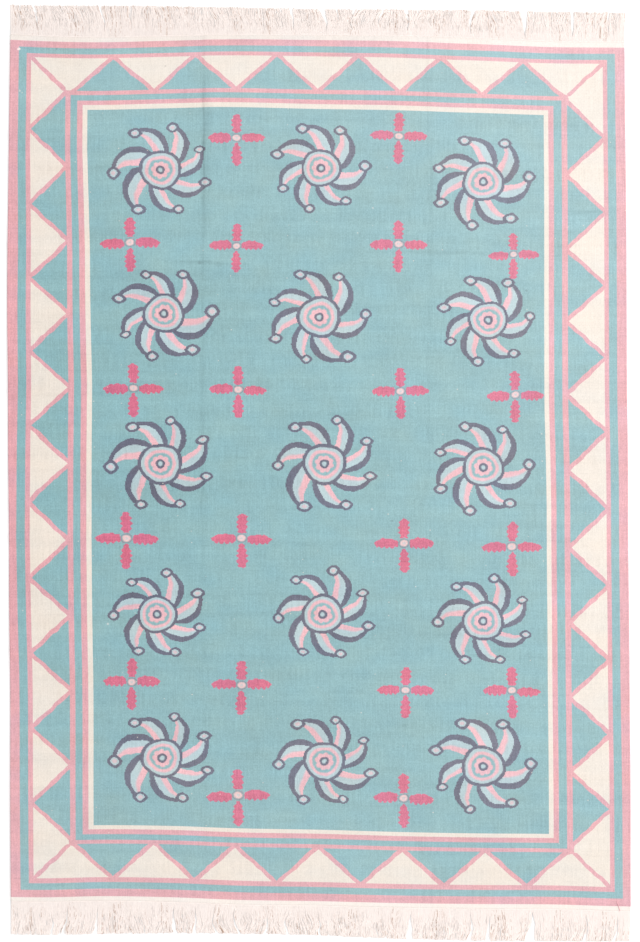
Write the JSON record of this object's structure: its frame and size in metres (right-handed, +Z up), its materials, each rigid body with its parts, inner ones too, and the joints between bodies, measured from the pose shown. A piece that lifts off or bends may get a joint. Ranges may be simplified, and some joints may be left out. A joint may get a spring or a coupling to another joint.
{
  "type": "dhurrie rug",
  "caption": "Flat-woven rectangular cotton floor rug with a sawtooth border, whirling flower rosettes and a loose fringe along both short ends.",
  "frame": {"origin": "middle of the rug's footprint, fringes included, on the flat underside", "axes": "+Z up out of the patterned face, +Y along the rug towards the far fringe, +X across the rug to the right"},
  "size_m": [1.8476, 2.7744, 0.0073],
  "materials": {
    "woven_cotton": "matt flat-woven cotton, mostly pale teal with pink and cream",
    "fringe_cotton": "matt cream cotton yarn"
  },
  "bodies": {
    "root": {"woven_cloth": "woven_cotton", "fringe_near_end": "fringe_cotton", "fringe_far_end": "fringe_cotton"}
  },
  "joints": []
}
